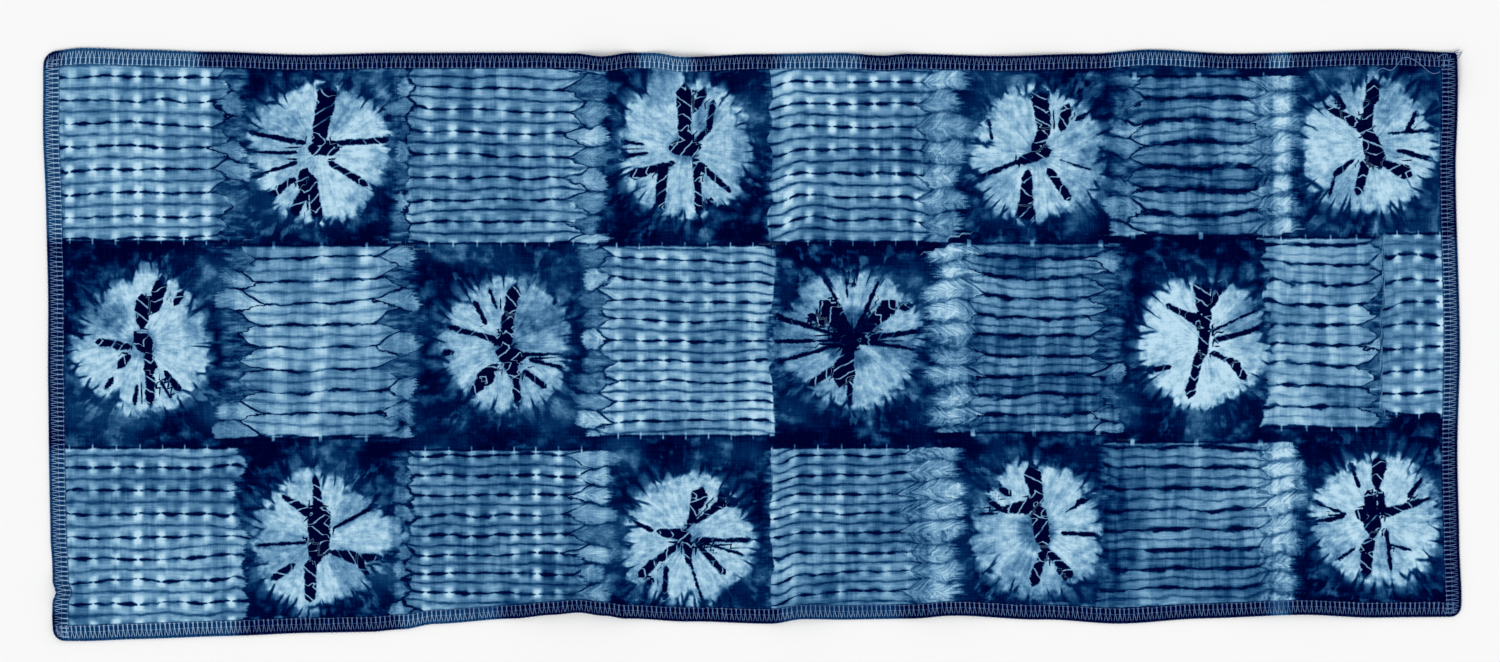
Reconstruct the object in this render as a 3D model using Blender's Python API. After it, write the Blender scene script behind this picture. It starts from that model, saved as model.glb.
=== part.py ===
# Shibori dyed cloth: one length of thin cotton, tied and stitched before dyeing, with an
# overlocked edge, lying flat. The panel is one solid: its hem is part of it.
# Plan view: +X runs along the length, +Y across it, +Z up from the surface it lies on.

import math
from collections import namedtuple

import bmesh
import bpy

MM = 0.001

# Driving sizes, in millimetres
SHEET_THICK = 1.2  # the cloth with its slight body
HEM_THICK = 1.9  # the cloth with the overlock thread above and below it
HEM_WIDTH = 7.6  # bite of the overlock stitch
HEM_ROUND = 1.0  # width of the rounded outer rim of the hem
HEM_STEP = 1.2  # width of the slope from the hem down to the cloth
RIM_LOW, RIM_HIGH = 0.35, 1.35  # heights of the rim's outermost line
EDGE_REACH = 95.0  # how far in from an edge its unevenness is felt
FOLD_HEIGHT, FOLD_HALF_WIDTH = 0.35, 5.0  # soft ridges where the cloth was folded for dyeing
DOME_HEIGHT, DOME_RADIUS = 0.6, 33.0  # low swelling left by each tied round
GRID_STEP = 10.5  # greatest spacing of the mesh lines between folds
LEAST_STEP = 3.0  # a lift adds no mesh line nearer than this to another

# The four corners, with the radius that rounds each
Corner = namedtuple("Corner", "x y radius")
TOP_LEFT = Corner(-325.8, 134.4, 5.5)
TOP_RIGHT = Corner(323.8, 134.0, 1.8)
BOTTOM_LEFT = Corner(-321.2, -136.6, 5.2)
BOTTOM_RIGHT = Corner(325.4, -125.4, 4.2)

# Where the cloth was folded between its squares before it was tied and stitched
COLUMN_FOLDS = (-238.0, -159.5, -70.0, 9.0, 88.5, 169.0, 245.0)
ROW_FOLDS = (-44.4, 46.7)

# How far each edge stands out from the straight line between its corners.
# along is x on the long edges and y on the short ones.
EdgePoint = namedtuple("EdgePoint", "along out")
TOP_EDGE = (
    EdgePoint(-308, 1.8),
    EdgePoint(-279, 1.0),
    EdgePoint(-249, 0.0),
    EdgePoint(-205, -1.3),
    EdgePoint(-161, -0.4),
    EdgePoint(-102, -0.3),
    EdgePoint(-82, -0.6),
    EdgePoint(-69, -2.1),
    EdgePoint(-56, -0.3),
    EdgePoint(-46, -0.3),
    EdgePoint(-32, -2.3),
    EdgePoint(1, -0.9),
    EdgePoint(41, -0.3),
    EdgePoint(60, -1.6),
    EdgePoint(71, -0.7),
    EdgePoint(114, -1.7),
    EdgePoint(155, -0.6),
    EdgePoint(183, 1.3),
    EdgePoint(221, -0.5),
    EdgePoint(295, 1.3),
)
BOTTOM_EDGE = (
    EdgePoint(-306, 0.3),
    EdgePoint(-283, -0.2),
    EdgePoint(-242, -0.9),
    EdgePoint(-205, -1.7),
    EdgePoint(-176, -1.7),
    EdgePoint(-161, -2.6),
    EdgePoint(-146, -4.8),
    EdgePoint(-110, -6.7),
    EdgePoint(-92, -8.2),
    EdgePoint(-80, -9.1),
    EdgePoint(-68, -7.4),
    EdgePoint(-58, -5.8),
    EdgePoint(-29, -3.9),
    EdgePoint(9, -2.3),
    EdgePoint(23, -4.2),
    EdgePoint(44, -3.5),
    EdgePoint(74, -3.5),
    EdgePoint(91, -4.6),
    EdgePoint(133, -2.0),
    EdgePoint(170, 0.5),
    EdgePoint(207, -1.2),
    EdgePoint(251, -2.2),
    EdgePoint(288, -0.2),
)
LEFT_EDGE = (
    EdgePoint(-124, 0.6),
    EdgePoint(-119, 0.2),
    EdgePoint(-114, -1.6),
    EdgePoint(-109, 0.0),
    EdgePoint(-101, 0.2),
    EdgePoint(-90, 0.8),
    EdgePoint(-58, 0.9),
    EdgePoint(-19, 0.7),
    EdgePoint(25, 0.0),
    EdgePoint(64, 0.3),
    EdgePoint(97, 1.1),
    EdgePoint(124, 0.6),
)
RIGHT_EDGE = (
    EdgePoint(-118, 0.7),
    EdgePoint(-90, -0.2),
    EdgePoint(-52, -0.8),
    EdgePoint(0, 0.7),
    EdgePoint(80, -0.8),
    EdgePoint(110, 0.3),
)

# Places where the hem has drawn up and stands off the surface
Lift = namedtuple("Lift", "edge along half_width reach height")
LIFTS = (
    Lift("top", -69, 18, 15, 3.2),
    Lift("top", -32, 22, 15, 2.6),
    Lift("top", 60, 22, 14, 1.6),
    Lift("top", 128, 34, 14, 1.2),
    Lift("bottom", -80, 42, 20, 4.2),
    Lift("bottom", 23, 22, 15, 2.8),
    Lift("bottom", 91, 30, 16, 2.2),
    Lift("bottom", 251, 45, 16, 1.6),
    Lift("left", -114, 12, 10, 2.8),
    Lift("right", 124, 18, 18, 3.0),
    Lift("left", -132, 12, 12, 1.4),
)

DYED_COTTON = (0.068, 0.168, 0.300, 1.0)  # mean of the pale and deep indigo
COTTON_ROUGHNESS = 0.92


def smooth(share):
    share = min(max(share, 0.0), 1.0)
    return share * share * (3.0 - 2.0 * share)


def standing_out(edge, start, end, at):
    """Outward offset at a place on an edge, on a smooth curve through the edge's points."""
    rows = [EdgePoint(start, 0.0), *edge, EdgePoint(end, 0.0)]
    at = min(max(at, start), end)
    upper = next(i for i in range(1, len(rows)) if at <= rows[i].along)
    before, after = rows[upper - 1], rows[upper]
    share = (at - before.along) / (after.along - before.along)
    return before.out + (after.out - before.out) * smooth(share)


def fade(distance):
    """Weight of an edge's unevenness at a distance in from it."""
    return max(0.0, 1.0 - distance / EDGE_REACH) ** 2


def between(low, high, share):
    return low + (high - low) * share


def outline_place(u, v):
    """Where a point of the square cut lies on the uneven cloth; u and v run from 0 to 1."""
    bottom_x = between(BOTTOM_LEFT.x, BOTTOM_RIGHT.x, u)
    bottom_y = between(BOTTOM_LEFT.y, BOTTOM_RIGHT.y, u)
    top_x = between(TOP_LEFT.x, TOP_RIGHT.x, u)
    top_y = between(TOP_LEFT.y, TOP_RIGHT.y, u)
    x = between(bottom_x, top_x, v)
    y = between(bottom_y, top_y, v)
    above, below = top_y - y, y - bottom_y
    left_x = between(BOTTOM_LEFT.x, TOP_LEFT.x, v)
    right_x = between(BOTTOM_RIGHT.x, TOP_RIGHT.x, v)
    out_top = standing_out(TOP_EDGE, TOP_LEFT.x, TOP_RIGHT.x, x) * fade(above)
    out_bottom = standing_out(BOTTOM_EDGE, BOTTOM_LEFT.x, BOTTOM_RIGHT.x, x) * fade(below)
    out_left = standing_out(LEFT_EDGE, BOTTOM_LEFT.y, TOP_LEFT.y, y) * fade(x - left_x)
    out_right = standing_out(RIGHT_EDGE, BOTTOM_RIGHT.y, TOP_RIGHT.y, y) * fade(right_x - x)
    return x - out_left + out_right, y + out_top - out_bottom


def round_corner(from_side, from_end, radius):
    """Draws a point near a square corner in, so that the corner becomes a quarter circle."""
    a, b = radius - from_side, radius - from_end
    if a <= 0.0 or b <= 0.0:
        return from_side, from_end
    share = max(a, b) / math.hypot(a, b)
    return radius - a * share, radius - b * share


def rise(x, y, edge_distances):
    """Height of the underside where the hem has drawn up."""
    height = 0.0
    for lift in LIFTS:
        along = x if lift.edge in ("top", "bottom") else y
        away = abs(along - lift.along) / lift.half_width
        inwards = edge_distances[lift.edge] / lift.reach
        if away < 1.0 and inwards < 1.0:
            height = max(height, lift.height * math.cos(away * math.pi / 2) ** 2 * (1 - inwards) ** 2)
    return height


def fold_relief(x, y):
    """Soft ridges along the old folds."""
    nearest = min([abs(x - fold) for fold in COLUMN_FOLDS] + [abs(y - fold) for fold in ROW_FOLDS])
    return FOLD_HEIGHT * smooth(1.0 - nearest / FOLD_HALF_WIDTH)


def dome_relief(x, y):
    """Low swelling of the tied rounds, which take alternate squares."""
    columns = [TOP_LEFT.x, *COLUMN_FOLDS, TOP_RIGHT.x]
    rows = [BOTTOM_LEFT.y, *ROW_FOLDS, TOP_LEFT.y]
    height = 0.0
    for row in range(len(rows) - 1):
        for column in range(len(columns) - 1):
            if (row + column) % 2:
                middle_x = (columns[column] + columns[column + 1]) / 2
                middle_y = (rows[row] + rows[row + 1]) / 2
                away = math.hypot(x - middle_x, y - middle_y) / DOME_RADIUS
                height = max(height, DOME_HEIGHT * smooth(1.0 - away))
    return height


def heights(x, y, edge_distances):
    """Underside and top of the cloth at a place, above the surface that it lies on."""
    inwards = min(edge_distances.values())
    lifted = rise(x, y, edge_distances)
    if inwards < HEM_ROUND:
        share = smooth(inwards / HEM_ROUND)
        low, high = between(RIM_LOW, 0.0, share), between(RIM_HIGH, HEM_THICK, share)
    else:
        share = smooth((inwards - HEM_WIDTH) / HEM_STEP)
        relief = fold_relief(x, y) + dome_relief(x, y)
        low, high = 0.0, between(HEM_THICK, SHEET_THICK + relief, share)
    return lifted + low, lifted + high


def mesh_lines(low, high, folds, lifts):
    """Places of the mesh lines across the cloth: close at hems, folds and lifts, even between."""
    hem = (0.0, HEM_ROUND, HEM_WIDTH, HEM_WIDTH + HEM_STEP)
    marks = [low + step for step in hem] + [high - step for step in hem]
    for fold in folds:
        marks += [fold - FOLD_HALF_WIDTH, fold, fold + FOLD_HALF_WIDTH]
    for lift in lifts:
        for mark in (lift.along, lift.along - lift.half_width / 2, lift.along + lift.half_width / 2):
            if low < mark < high and min(abs(mark - other) for other in marks) > LEAST_STEP:
                marks.append(mark)
    marks.sort()
    lines = [marks[0]]
    for mark in marks[1:]:
        start = lines[-1]
        count = max(1, math.ceil((mark - start) / GRID_STEP))
        lines += [between(start, mark, (i + 1) / count) for i in range(count)]
    return lines


def cloth_points():
    """The cloth's grid as rows of (x, y, underside height, top height), in millimetres."""
    width = TOP_RIGHT.x - TOP_LEFT.x
    depth = TOP_LEFT.y - BOTTOM_LEFT.y
    long_lifts = [lift for lift in LIFTS if lift.edge in ("top", "bottom")]
    short_lifts = [lift for lift in LIFTS if lift.edge in ("left", "right")]
    lines_across = mesh_lines(TOP_LEFT.x, TOP_RIGHT.x, COLUMN_FOLDS, long_lifts)
    lines_up = mesh_lines(BOTTOM_LEFT.y, TOP_LEFT.y, ROW_FOLDS, short_lifts)
    across = [at - TOP_LEFT.x for at in lines_across]
    up = [at - BOTTOM_LEFT.y for at in lines_up]
    grid = []
    for v in up:
        row = []
        for u in across:
            side, end = min(u, width - u), min(v, depth - v)
            left, low = u < width / 2, v < depth / 2
            corner = {
                (True, True): BOTTOM_LEFT,
                (True, False): TOP_LEFT,
                (False, True): BOTTOM_RIGHT,
                (False, False): TOP_RIGHT,
            }[left, low]
            side, end = round_corner(side, end, corner.radius)
            u_place = side if left else width - side
            v_place = end if low else depth - end
            x, y = outline_place(u_place / width, v_place / depth)
            distances = {"left": u, "right": width - u, "bottom": v, "top": depth - v}
            row.append((x, y, *heights(x, y, distances)))
        grid.append(row)
    return grid


def centred(grid):
    """Moves the grid so that the middle of its box is at the origin."""
    xs = [point[0] for row in grid for point in row]
    ys = [point[1] for row in grid for point in row]
    middle_x, middle_y = (min(xs) + max(xs)) / 2, (min(ys) + max(ys)) / 2
    return [[(x - middle_x, y - middle_y, low, high) for x, y, low, high in row] for row in grid]


def panel_mesh(grid):
    """Closed mesh of the cloth: top and underside over the same grid, joined round the rim."""
    bm = bmesh.new()
    top = [[bm.verts.new((x * MM, y * MM, high * MM)) for x, y, low, high in row] for row in grid]
    under = [[bm.verts.new((x * MM, y * MM, low * MM)) for x, y, low, high in row] for row in grid]
    rows, columns = len(grid), len(grid[0])
    for j in range(rows - 1):
        for i in range(columns - 1):
            bm.faces.new((top[j][i], top[j][i + 1], top[j + 1][i + 1], top[j + 1][i]))
            bm.faces.new((under[j][i], under[j + 1][i], under[j + 1][i + 1], under[j][i + 1]))
    rim = [(0, i) for i in range(columns)]
    rim += [(j, columns - 1) for j in range(1, rows)]
    rim += [(rows - 1, i) for i in range(columns - 2, -1, -1)]
    rim += [(j, 0) for j in range(rows - 2, 0, -1)]
    for (j, i), (next_j, next_i) in zip(rim, rim[1:] + rim[:1]):
        bm.faces.new((under[j][i], under[next_j][next_i], top[next_j][next_i], top[j][i]))
    flat_angle = math.radians(0.02)
    bmesh.ops.dissolve_limit(bm, angle_limit=flat_angle, verts=bm.verts, edges=bm.edges)
    bmesh.ops.recalc_face_normals(bm, faces=bm.faces)
    mesh = bpy.data.meshes.new("dyed_cloth")
    bm.to_mesh(mesh)
    bm.free()
    return mesh


def cotton_material():
    material = bpy.data.materials.new("dyed_cotton")
    material.use_nodes = True
    shader = material.node_tree.nodes["Principled BSDF"]
    shader.inputs["Base Color"].default_value = DYED_COTTON
    shader.inputs["Roughness"].default_value = COTTON_ROUGHNESS
    shader.inputs["Metallic"].default_value = 0.0
    return material


def main():
    for old in list(bpy.data.objects):
        bpy.data.objects.remove(old)
    mesh = panel_mesh(centred(cloth_points()))
    mesh.materials.append(cotton_material())
    cloth = bpy.data.objects.new("dyed_cloth", mesh)
    bpy.context.scene.collection.objects.link(cloth)
    mesh.shade_smooth()
    mesh.set_sharp_from_angle(angle=math.radians(30))


main()
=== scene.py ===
# Shibori dyed cloth: the dyed face, its reverse, and the overlock threads round the edge.
import math
from collections import namedtuple

import bpy
import numpy as np
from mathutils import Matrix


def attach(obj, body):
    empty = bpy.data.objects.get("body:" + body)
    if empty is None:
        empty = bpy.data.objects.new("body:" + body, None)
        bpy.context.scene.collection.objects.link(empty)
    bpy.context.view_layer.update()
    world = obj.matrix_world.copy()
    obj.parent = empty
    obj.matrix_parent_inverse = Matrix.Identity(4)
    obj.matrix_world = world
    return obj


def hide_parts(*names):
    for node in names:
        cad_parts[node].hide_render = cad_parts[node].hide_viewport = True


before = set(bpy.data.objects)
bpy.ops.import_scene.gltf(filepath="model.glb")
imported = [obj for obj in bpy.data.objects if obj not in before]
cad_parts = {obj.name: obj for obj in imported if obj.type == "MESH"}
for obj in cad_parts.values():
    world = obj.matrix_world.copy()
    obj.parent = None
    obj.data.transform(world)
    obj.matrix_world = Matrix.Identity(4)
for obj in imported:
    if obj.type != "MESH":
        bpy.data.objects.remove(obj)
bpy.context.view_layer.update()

mm = 0.001

# The cut of the cloth, in millimetres: x along it, y across it
Corner = namedtuple("Corner", "x y radius")
Lift = namedtuple("Lift", "edge at halfWidth reach height")
cloth = {
    "hemWidth": 7.6,
    "hemSlope": 1.6,
    "rimWidth": 1.2,
    "rimHeight": 0.85,
    "hemTop": 1.45,
    "hemUnder": 0.45,
    "faceTop": 1.0,
    "faceUnder": 0.3,
    "edgeReach": 95.0,  # how far in from an edge its unevenness is felt
    "foldHeight": 0.3,
    "foldHalfWidth": 5.0,
    "domeHeight": 0.5,
    "domeRadius": 33.0,
    "reliefFade": 6.0,
    "faceStep": 1.36,  # between the points of each mesh
    "reverseStep": 2.6,
}
topLeft = Corner(-325.8, 134.4, 5.5)
topRight = Corner(323.8, 134.0, 1.8)
bottomLeft = Corner(-321.2, -136.6, 5.2)
bottomRight = Corner(325.4, -125.4, 4.2)
columnFolds = (-238.0, -159.5, -70.0, 9.0, 88.5, 169.0, 245.0)
rowFolds = (-44.4, 46.7)
longEdges = ("top", "bottom")

# Each edge's outward offsets from a straight line, at places along it
topEdge = (
    (-308, 1.8), (-279, 1.0), (-249, 0.0), (-205, -1.3), (-161, -0.4), (-102, -0.3), (-82, -0.6),
    (-69, -2.1), (-56, -0.3), (-46, -0.3), (-32, -2.3), (1, -0.9), (41, -0.3), (60, -1.6), (71, -0.7),
    (114, -1.7), (155, -0.6), (183, 1.3), (221, -0.5), (295, 1.3),
)
bottomEdge = (
    (-306, 0.3), (-283, -0.2), (-242, -0.9), (-205, -1.7), (-176, -1.7), (-161, -2.6), (-146, -4.8),
    (-110, -6.7), (-92, -8.2), (-80, -9.1), (-68, -7.4), (-58, -5.8), (-29, -3.9), (9, -2.3), (23, -4.2),
    (44, -3.5), (74, -3.5), (91, -4.6), (133, -2.0), (170, 0.5), (207, -1.2), (251, -2.2), (288, -0.2),
)
leftEdge = (
    (-124, 0.6), (-119, 0.2), (-114, -1.6), (-109, 0.0), (-101, 0.2), (-90, 0.8), (-58, 0.9), (-19, 0.7),
    (25, 0.0), (64, 0.3), (97, 1.1), (124, 0.6),
)
rightEdge = (
    (-118, 0.7), (-90, -0.2), (-52, -0.8), (0, 0.7), (80, -0.8), (110, 0.3),
)
lifts = (
    Lift("top", -69, 18, 15, 3.2), Lift("top", -32, 22, 15, 2.6), Lift("top", 60, 22, 14, 1.6),
    Lift("top", 128, 34, 14, 1.2), Lift("bottom", -80, 42, 20, 4.2), Lift("bottom", 23, 22, 15, 2.8),
    Lift("bottom", 91, 30, 16, 2.2), Lift("bottom", 251, 45, 16, 1.6), Lift("left", -114, 12, 10, 2.8),
    Lift("right", 124, 18, 18, 3.0), Lift("left", -132, 12, 12, 1.4),
)
width = topRight.x - topLeft.x
depth = topLeft.y - bottomLeft.y


def smooth(share):
    share = np.clip(share, 0.0, 1.0)
    return share * share * (3.0 - 2.0 * share)


def between(low, high, share):
    return low + (high - low) * share


def standingOut(edge, start, end, at):
    # outward offset at places on an edge, on a smooth curve through the edge's points
    along, out = np.array([(start, 0.0), *edge, (end, 0.0)]).T
    at = np.clip(at, start, end)
    i = np.clip(np.searchsorted(along, at) - 1, 0, len(along) - 2)
    return between(out[i], out[i + 1], smooth((at - along[i]) / (along[i + 1] - along[i])))


def fadeFromEdge(distance):
    return np.clip(1.0 - distance / cloth["edgeReach"], 0.0, None) ** 2


def unevenPlace(u, v):
    # where a point of the square cut lies on the uneven cloth; u and v run from 0 to 1
    topY = between(topLeft.y, topRight.y, u)
    bottomY = between(bottomLeft.y, bottomRight.y, u)
    leftX = between(bottomLeft.x, topLeft.x, v)
    rightX = between(bottomRight.x, topRight.x, v)
    x = between(leftX, rightX, u)
    y = between(bottomY, topY, v)
    outTop = standingOut(topEdge, topLeft.x, topRight.x, x) * fadeFromEdge(topY - y)
    outBottom = standingOut(bottomEdge, bottomLeft.x, bottomRight.x, x) * fadeFromEdge(y - bottomY)
    outLeft = standingOut(leftEdge, bottomLeft.y, topLeft.y, y) * fadeFromEdge(x - leftX)
    outRight = standingOut(rightEdge, bottomRight.y, topRight.y, y) * fadeFromEdge(rightX - x)
    return x - outLeft + outRight, y + outTop - outBottom


def roundedCut(u, v):
    # draws the four corners of the square cut in to quarter circles; u and v are in millimetres
    side, end = np.minimum(u, width - u), np.minimum(v, depth - v)
    isLeft, isLow = u < width / 2, v < depth / 2
    lowRadius = np.where(isLeft, bottomLeft.radius, bottomRight.radius)
    highRadius = np.where(isLeft, topLeft.radius, topRight.radius)
    radius = np.where(isLow, lowRadius, highRadius)
    a, b = radius - side, radius - end
    near = (a > 0) & (b > 0)
    share = np.where(near, np.maximum(a, b) / np.maximum(np.hypot(a, b), 1e-6), 1.0)
    side = np.where(near, radius - a * share, side)
    end = np.where(near, radius - b * share, end)
    return np.where(isLeft, side, width - side), np.where(isLow, end, depth - end)


def clothPlan(u, v):
    # plan position of the square cut's points, in millimetres from the cloth's middle
    u, v = roundedCut(u, v)
    x, y = unevenPlace(u / width, v / depth)
    return x - middle[0], y - middle[1]


def findMiddle():
    steps = np.linspace(0, 1, 1200)
    zeros, ones = np.zeros(1200), np.ones(1200)
    u = np.concatenate([steps, steps, zeros, ones]) * width
    v = np.concatenate([zeros, ones, steps, steps]) * depth
    x, y = clothPlan(u, v)
    return (x.min() + x.max()) / 2, (y.min() + y.max()) / 2


middle = (0.0, 0.0)  # clothPlan needs one while the real one is found
middle = findMiddle()


def inwardsByEdge(u, v):
    return {"left": u, "right": width - u, "bottom": v, "top": depth - v}


def edgeInwards(u, v):
    return np.minimum.reduce(list(inwardsByEdge(u, v).values()))


def liftHeight(u, v):
    # height of the underside where the hem has drawn up
    x, y = clothPlan(u, v)
    inwards = inwardsByEdge(u, v)
    height = np.zeros_like(u)
    for lift in lifts:
        along = x + middle[0] if lift.edge in longEdges else y + middle[1]
        away = np.clip(np.abs(along - lift.at) / lift.halfWidth, 0, 1)
        inside = np.clip(inwards[lift.edge] / lift.reach, 0, 1)
        height = np.maximum(height, lift.height * np.cos(away * np.pi / 2) ** 2 * (1 - inside) ** 2)
    return height


def foldAway(place, folds):
    # distance to the nearest of the old folds in one direction
    return np.min(np.stack([np.abs(place - fold) for fold in folds]), axis=0)


def roundDistances(x, y):
    return np.stack([np.hypot(x - tied.x, y - tied.y) for tied, gaps in tiedRounds])


def reliefHeight(u, v):
    # soft ridges at the old folds, and a low swelling at each tied round
    x, y = clothPlan(u, v)
    away = np.minimum(foldAway(x + middle[0], columnFolds), foldAway(y + middle[1], rowFolds))
    fold = 1 - smooth(away / cloth["foldHalfWidth"])
    dome = np.clip(1 - (roundDistances(x, y).min(axis=0) / cloth["domeRadius"]) ** 2, 0, 1) ** 2
    clearOfHem = smooth((edgeInwards(u, v) - cloth["hemWidth"]) / cloth["reliefFade"])
    return (cloth["foldHeight"] * fold + cloth["domeHeight"] * dome) * clearOfHem


def hemProfile(u, v, hemHeight, clothHeight):
    # from the rim over the hem band to the cloth inside it
    inwards = edgeInwards(u, v)
    rim = np.sqrt(np.clip(1 - (1 - np.clip(inwards / cloth["rimWidth"], 0, 1)) ** 2, 0, 1))
    hem = between(cloth["rimHeight"], hemHeight, rim)
    return between(hem, clothHeight, smooth((inwards - cloth["hemWidth"]) / cloth["hemSlope"]))


def faceHeight(u, v):
    return liftHeight(u, v) + reliefHeight(u, v) + hemProfile(u, v, cloth["hemTop"], cloth["faceTop"])


def reverseHeight(u, v):
    return liftHeight(u, v) + hemProfile(u, v, cloth["hemUnder"], cloth["faceUnder"])


handFields = {  # the uneven hand of the dyer: size of the lumps in millimetres, and seed
    "slowDrift": (38.0, 31), "quickDrift": (13.0, 51), "endDrift": (6.5, 191), "ridgeEnd": (7.0, 211),
    "dotDrift": (30.0, 71), "dotStrength": (20.0, 131), "slowTone": (24.0, 91), "quickTone": (9.0, 111),
    "petalBlue": (21.0, 151), "halo": (26.0, 171), "groundClouds": (19.0, 5), "groundSpots": (6.0, 6),
}


def handField(name, x, y, number=0):
    # smooth random field from -1 to 1; each square and each round has its own, by its number
    size, seed = handFields[name]
    rng = np.random.RandomState(seed + number)
    gx, gy = (x + 400.0) / size, (y + 200.0) / size  # counted from well outside the lower left corner
    table = rng.uniform(-1, 1, (int(gy.max()) + 3, int(gx.max()) + 3))
    i, j = np.floor(gx).astype(int), np.floor(gy).astype(int)
    sx, sy = smooth(gx - i), smooth(gy - j)
    low = between(table[j, i], table[j, i + 1], sx)
    high = between(table[j + 1, i], table[j + 1, i + 1], sx)
    return between(low, high, sy)


print("cut and heights ready")

# Stitched squares. Sizes in millimetres; lowLine is the lowest dark line and pitch the gap between
# dark lines. A side's point is how far its ridge ends taper, and its fringe how far the half-step
# cells beyond them reach. The rest are strengths.
Stitched = namedtuple(
    "Stitched",
    "left leftPoint leftFringe right rightPoint rightFringe top bottom lowLine pitch"
    " dotStart dotPitch dots minor line waves tone bend",
    defaults=(0.0,),
)
stitchedSquares = [Stitched(*row) for row in (
    (-345, 0, 9, -240, 8, 9, 132.0, 47.5, 48.1, 10.70, -303.1, 10.35, 1.08, 0.75, 0.75, 0.3, 0.60),
    (-160, 3, 6, -76, 8, 9, 132.0, 46.5, 46.7, 10.10, -148.2, 11.1, 0.75, 0.98, 0.72, 0.3, 0.535),
    (9.1, 0, 0.8, 82, 6, 15, 132.0, 47.0, 47.7, 10.50, 16.1, 10.0, 0.9, 1.05, 0.74, 0.3, 0.52, 0.35),
    (173, 7, 10, 236, 7, 13, 123.5, 50.0, 50.8, 10.35, 206.0, 30.0, -0.4, 0.80, 1.55, 1.0, 0.53),
    (-236, 8, 9, -162, 10, 10, 45.5, -43.0, -42.1, 10.25, -219.5, 21.2, 0.6, 0.60, 0.85, 0.5, 0.615),
    (-70.5, 6, 8, 9.1, 0, 0.8, 45.5, -42.0, -34.7, 9.20, -51.6, 10.4, 0.8, 0.92, 0.88, 0.3, 0.57),
    (98, 7, 15, 164, 8, 7, 46.5, -40.5, -40.7, 9.04, 130.0, 30.0, 0.1, 0.75, 1.50, 1.0, 0.47),
    (239.5, 0, 4, 288.5, 7, 2, 49.0, -38.5, -28.8, 9.30, 254.7, 11.5, 0.4, 0.40, 1.40, 0.6, 0.565),
    (291, 0, 2, 345, 0, 9, 51.0, -32.6, -22.3, 10.65, 296.6, 9.9, 1.1, 0.40, 1.00, 0.4, 0.54),
    (-345, 0, 9, -241, 0, 7, -47.5, -135.0, -119.4, 10.40, -303.0, 10.6, 0.95, 0.80, 0.85, 0.3, 0.545),
    (-159, 3, 6, -75, 9, 11, -48.5, -135.0, -115.2, 9.06, -150.0, 10.2, 0.9, 0.90, 1.00, 0.4, 0.48),
    (9.1, 0, 0.8, 77, 7, 17, -47.5, -135.0, -114.0, 9.06, 20.0, 10.4, 0.7, 0.95, 0.90, 0.3, 0.49, 0.4),
    (167, 0, 8, 238, 4, 12, -45.0, -135.0, -121.2, 9.27, 205.0, 30.0, 0.2, 0.75, 1.50, 0.7, 0.515),
)]
# Pale upright bands where the folded edges took up less dye
PaleBand = namedtuple("PaleBand", "left right soft top bottom light")
paleBands = (
    PaleBand(-249, -238, 5.0, 130, -130, -0.10),
    PaleBand(-79, -66, 5.0, 130, -130, 0.11),
    PaleBand(9, 22, 3.0, 130, 46, 0.12),
    PaleBand(-4, 10, 3.0, 46, -43, 0.16),
    PaleBand(9, 20, 3.0, -43, -130, 0.12),
    PaleBand(82, 97, 8.0, 130, 47, 0.14),
    PaleBand(82, 97, 6.0, 47, -130, 0.19),
    PaleBand(158, 178, 9.0, -46, -135, -0.20),
    PaleBand(239.5, 247.4, 1.6, 130, 50, 0.24),
    PaleBand(240, 256.6, 0.8, 50, -42, 0.05),
    PaleBand(239.5, 248, 1.6, -42, -130, 0.21),
)
# Stretches of each edge where pale bands run out under the overlock
PaleEdge = namedtuple("PaleEdge", "edge start end share")
paleEdges = (
    PaleEdge("top", -318, -254, 0.9), PaleEdge("top", -52, -28, 0.9), PaleEdge("top", 12, 50, 0.7),
    PaleEdge("top", 164, 206, 0.5), PaleEdge("top", 238, 247, 1.0), PaleEdge("bottom", -318, -236, 0.7),
    PaleEdge("bottom", -162, -116, 0.7), PaleEdge("bottom", 13, 68, 0.6),
    PaleEdge("bottom", 238, 247, 1.0), PaleEdge("left", 48, 128, 0.8), PaleEdge("left", -40, 40, 0.25),
    PaleEdge("left", -124, -48, 0.65), PaleEdge("right", -36, 48, 0.4),
)

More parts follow.
